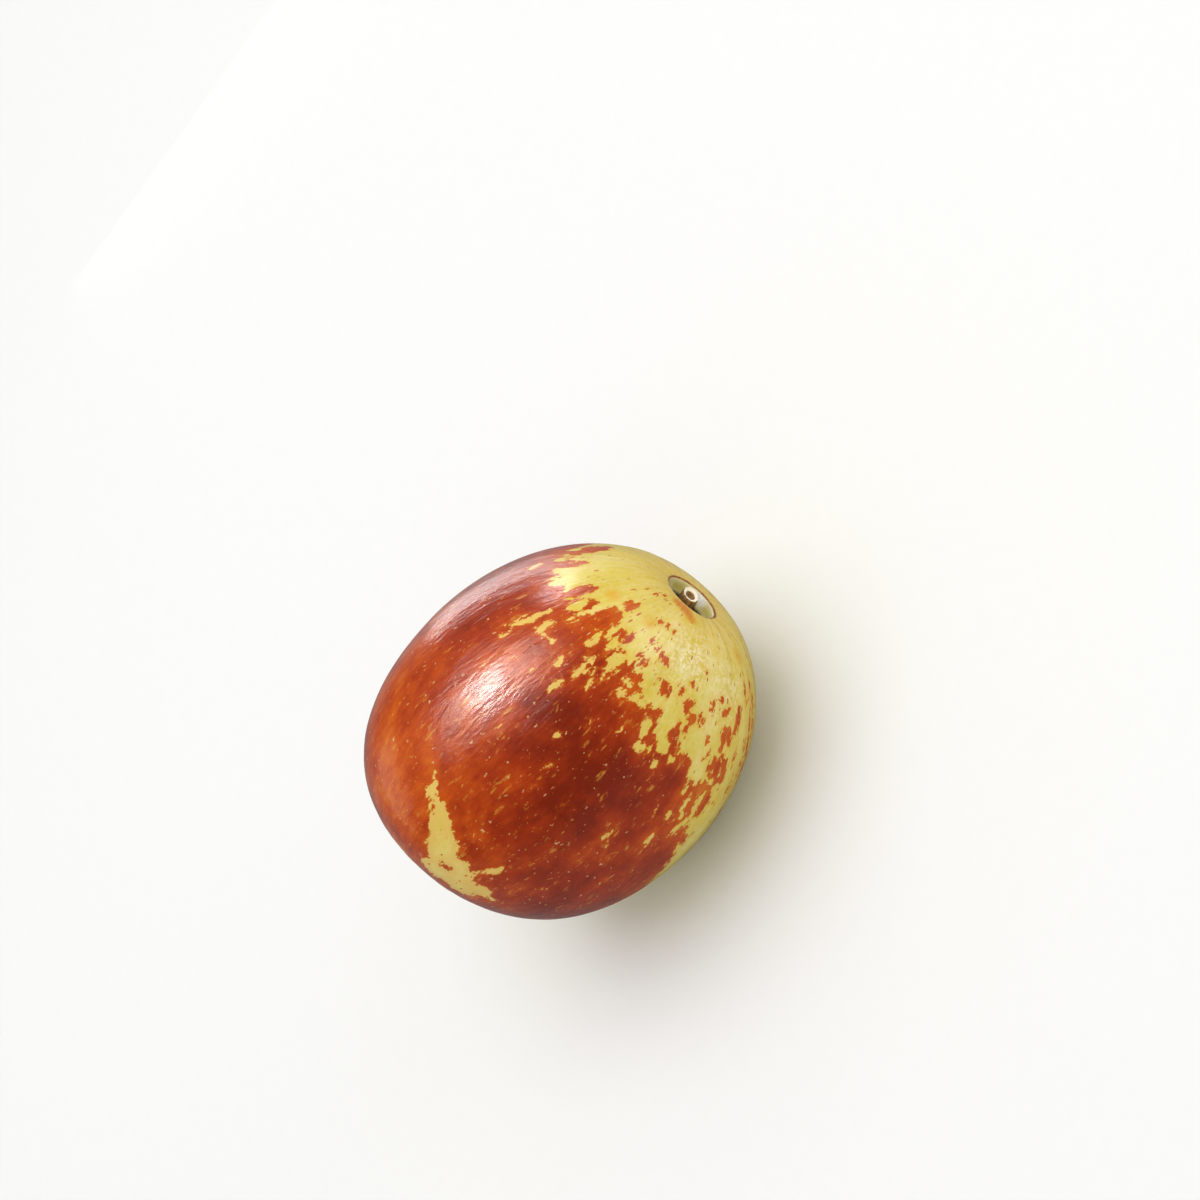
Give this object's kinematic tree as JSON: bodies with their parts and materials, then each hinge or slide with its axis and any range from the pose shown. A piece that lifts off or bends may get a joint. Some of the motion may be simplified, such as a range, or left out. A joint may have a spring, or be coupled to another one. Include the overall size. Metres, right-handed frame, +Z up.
{
  "type": "jujube",
  "caption": "Fresh jujube fruit with yellow-green skin, a red-brown blush and a cut stalk stub in its stem cavity, lying on a small flat spot.",
  "frame": {"origin": "on the resting surface, under the middle of the whole fruit's box", "axes": "+X along the fruit's long axis towards the stalk, +Z up from the flat spot that it rests on"},
  "size_m": [0.0392, 0.0346, 0.0345],
  "materials": {
    "skin": "thin glossy cuticle over a red-brown blush and yellow-green ground",
    "stalk": "dry tan bark with a pale cut end"
  },
  "bodies": {
    "root": {"fruit": "skin", "stalk": "stalk"}
  },
  "joints": []
}
